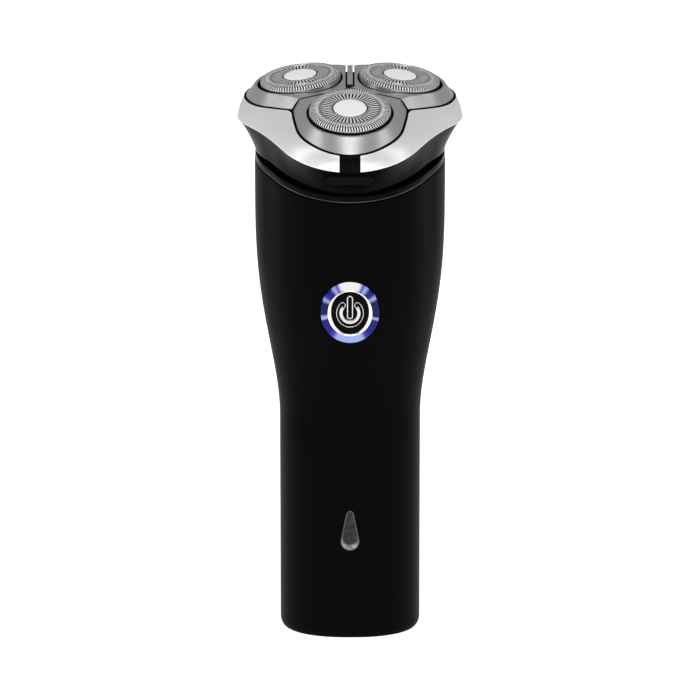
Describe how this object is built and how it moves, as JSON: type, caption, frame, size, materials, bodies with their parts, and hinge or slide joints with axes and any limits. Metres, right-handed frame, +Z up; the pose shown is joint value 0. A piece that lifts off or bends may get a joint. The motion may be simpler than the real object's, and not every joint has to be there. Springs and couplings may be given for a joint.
{
  "type": "electric shaver",
  "caption": "Upright rotary electric shaver with a waisted hand grip, a lit power button and a forward-leaning triangular head of slotted cutting units on a flip-up cover.",
  "frame": {"origin": "centre of the flat base, on the surface the shaver stands on", "axes": "+Z up along the grip; the power button and the lean of the head face -Y; +X is to the right seen from the button side"},
  "size_m": [0.0664, 0.0638, 0.166],
  "materials": {
    "soft_touch": "soft-touch near-black coating",
    "dark_plastic": "moulded black plastic, fine texture",
    "gloss_black": "polished black plastic",
    "rubber": "soft black seal",
    "satin_trim": "satin silver plating",
    "brushed_plate": "finely brushed, darker than the trim",
    "guard_steel": "bright turned steel",
    "disc_silver": "near-white satin silver",
    "chrome": "bright chrome",
    "blue_light": "clear ring lit blue from inside",
    "led_chip": "clear cast resin",
    "clear_lens": "smoke-clear indicator lens",
    "battery_wrap": "heat-shrink sleeve",
    "contact_metal": "plated contact metal",
    "board": "green solder mask",
    "black_component": "moulded component body",
    "steel": "plain steel",
    "gear_plastic": "natural acetal"
  },
  "bodies": {
    "handle": {"front_shell": "soft_touch", "rear_shell": "soft_touch", "base_cap": "dark_plastic", "inlet_socket": "dark_plastic", "inlet_pin_left": "contact_metal", "inlet_pin_right": "contact_metal", "chassis": "dark_plastic", "battery_cell": "battery_wrap", "battery_contact_low": "contact_metal", "battery_contact_top": "contact_metal", "circuit_board": "board", "controller_chip": "black_component", "inductor": "black_component", "tact_switch": "dark_plastic", "charge_led": "led_chip", "ring_led": "led_chip", "drive_motor": "steel", "motor_cap": "dark_plastic", "gear_base": "dark_plastic", "gear_cover": "dark_plastic", "cover_screws": "steel", "rim_ring": "gloss_black", "neck_ring": "dark_plastic", "neck_seal": "rubber", "light_ring": "blue_light", "bezel_ring": "chrome", "drop_lens": "clear_lens", "head_housing": "gloss_black", "hinge_pin": "steel"},
    "power_button": {"power_cap": "gloss_black", "power_symbol": "chrome"},
    "release_button": {"release_tab": "gloss_black"},
    "rotor": {"motor_pinion": "gear_plastic"},
    "spindle_1": {"spindle_gear_1": "gear_plastic", "drive_tip_1": "dark_plastic"},
    "spindle_2": {"spindle_gear_2": "gear_plastic", "drive_tip_2": "dark_plastic"},
    "spindle_3": {"spindle_gear_3": "gear_plastic", "drive_tip_3": "dark_plastic"},
    "cover": {"trim_band": "satin_trim", "trim_insert": "gloss_black", "head_frame": "dark_plastic", "petal_plate_1": "brushed_plate", "petal_plate_2": "brushed_plate", "petal_plate_3": "brushed_plate", "rear_rib": "brushed_plate", "cutter_retainer": "steel", "lock_knob": "dark_plastic"},
    "unit_1": {"guard_1": "guard_steel", "centre_disc_1": "disc_silver"},
    "unit_2": {"guard_2": "guard_steel", "centre_disc_2": "disc_silver"},
    "unit_3": {"guard_3": "guard_steel", "centre_disc_3": "disc_silver"},
    "blade_1": {"cutter_1": "guard_steel"},
    "blade_2": {"cutter_2": "guard_steel"},
    "blade_3": {"cutter_3": "guard_steel"}
  },
  "joints": [
    {"name": "power_press", "type": "slide", "parent": "handle", "child": "power_button", "axis": [0, 0.9948, 0.1022], "range_m": [0, 0.0008], "stiffness_N_per_m": 900},
    {"name": "release_press", "type": "slide", "parent": "handle", "child": "release_button", "axis": [0, 0.9781, 0.2079], "range_m": [0, 0.0008], "stiffness_N_per_m": 900},
    {"name": "cover_flip", "type": "hinge", "parent": "handle", "child": "cover", "pos_m": [0, 0.0296, 0.15701], "axis": [-1, 0, 0], "range_deg": [0, 100]},
    {"name": "motor_spin", "type": "hinge", "parent": "handle", "child": "rotor", "pos_m": [0, 0.0045, 0.139], "axis": [0, -0.2079, 0.9781], "continuous": true},
    {"name": "unit_tilt_1", "type": "hinge", "parent": "cover", "child": "unit_1", "pos_m": [0, -0.01647, 0.15736], "axis": [1, 0, 0], "range_deg": [-3, 3], "stiffness_Nm_per_rad": 0.6},
    {"name": "unit_tilt_2", "type": "hinge", "parent": "cover", "child": "unit_2", "pos_m": [0.01446, 0.00802, 0.16256], "axis": [-0.5, 0.8471, 0.1801], "range_deg": [-3, 3], "stiffness_Nm_per_rad": 0.6},
    {"name": "unit_tilt_3", "type": "hinge", "parent": "cover", "child": "unit_3", "pos_m": [-0.01446, 0.00802, 0.16256], "axis": [-0.5, -0.8471, -0.1801], "range_deg": [-3, 3], "stiffness_Nm_per_rad": 0.6},
    {"name": "spindle_spin_1", "type": "hinge", "parent": "handle", "child": "spindle_1", "pos_m": [0, -0.01135, 0.13563], "axis": [0, -0.2079, 0.9781], "continuous": true},
    {"name": "spindle_spin_2", "type": "hinge", "parent": "handle", "child": "spindle_2", "pos_m": [0.01403, 0.01242, 0.14068], "axis": [0, -0.2079, 0.9781], "continuous": true},
    {"name": "spindle_spin_3", "type": "hinge", "parent": "handle", "child": "spindle_3", "pos_m": [-0.01403, 0.01242, 0.14068], "axis": [0, -0.2079, 0.9781], "continuous": true},
    {"name": "cutter_spin_1", "type": "hinge", "parent": "unit_1", "child": "blade_1", "pos_m": [0, -0.01698, 0.15877], "axis": [0, -0.342, 0.9397], "continuous": true},
    {"name": "cutter_spin_2", "type": "hinge", "parent": "unit_2", "child": "blade_2", "pos_m": [0.01464, 0.00782, 0.16404], "axis": [0.1205, -0.1378, 0.9831], "continuous": true},
    {"name": "cutter_spin_3", "type": "hinge", "parent": "unit_3", "child": "blade_3", "pos_m": [-0.01464, 0.00782, 0.16404], "axis": [-0.1205, -0.1378, 0.9831], "continuous": true}
  ],
  "couplings": [
    {"joint": "spindle_spin_1", "follows": "motor_spin", "ratio": -0.8},
    {"joint": "spindle_spin_2", "follows": "motor_spin", "ratio": -0.8},
    {"joint": "spindle_spin_3", "follows": "motor_spin", "ratio": -0.8},
    {"joint": "cutter_spin_1", "follows": "motor_spin", "ratio": -0.8},
    {"joint": "cutter_spin_2", "follows": "motor_spin", "ratio": -0.8},
    {"joint": "cutter_spin_3", "follows": "motor_spin", "ratio": -0.8}
  ]
}
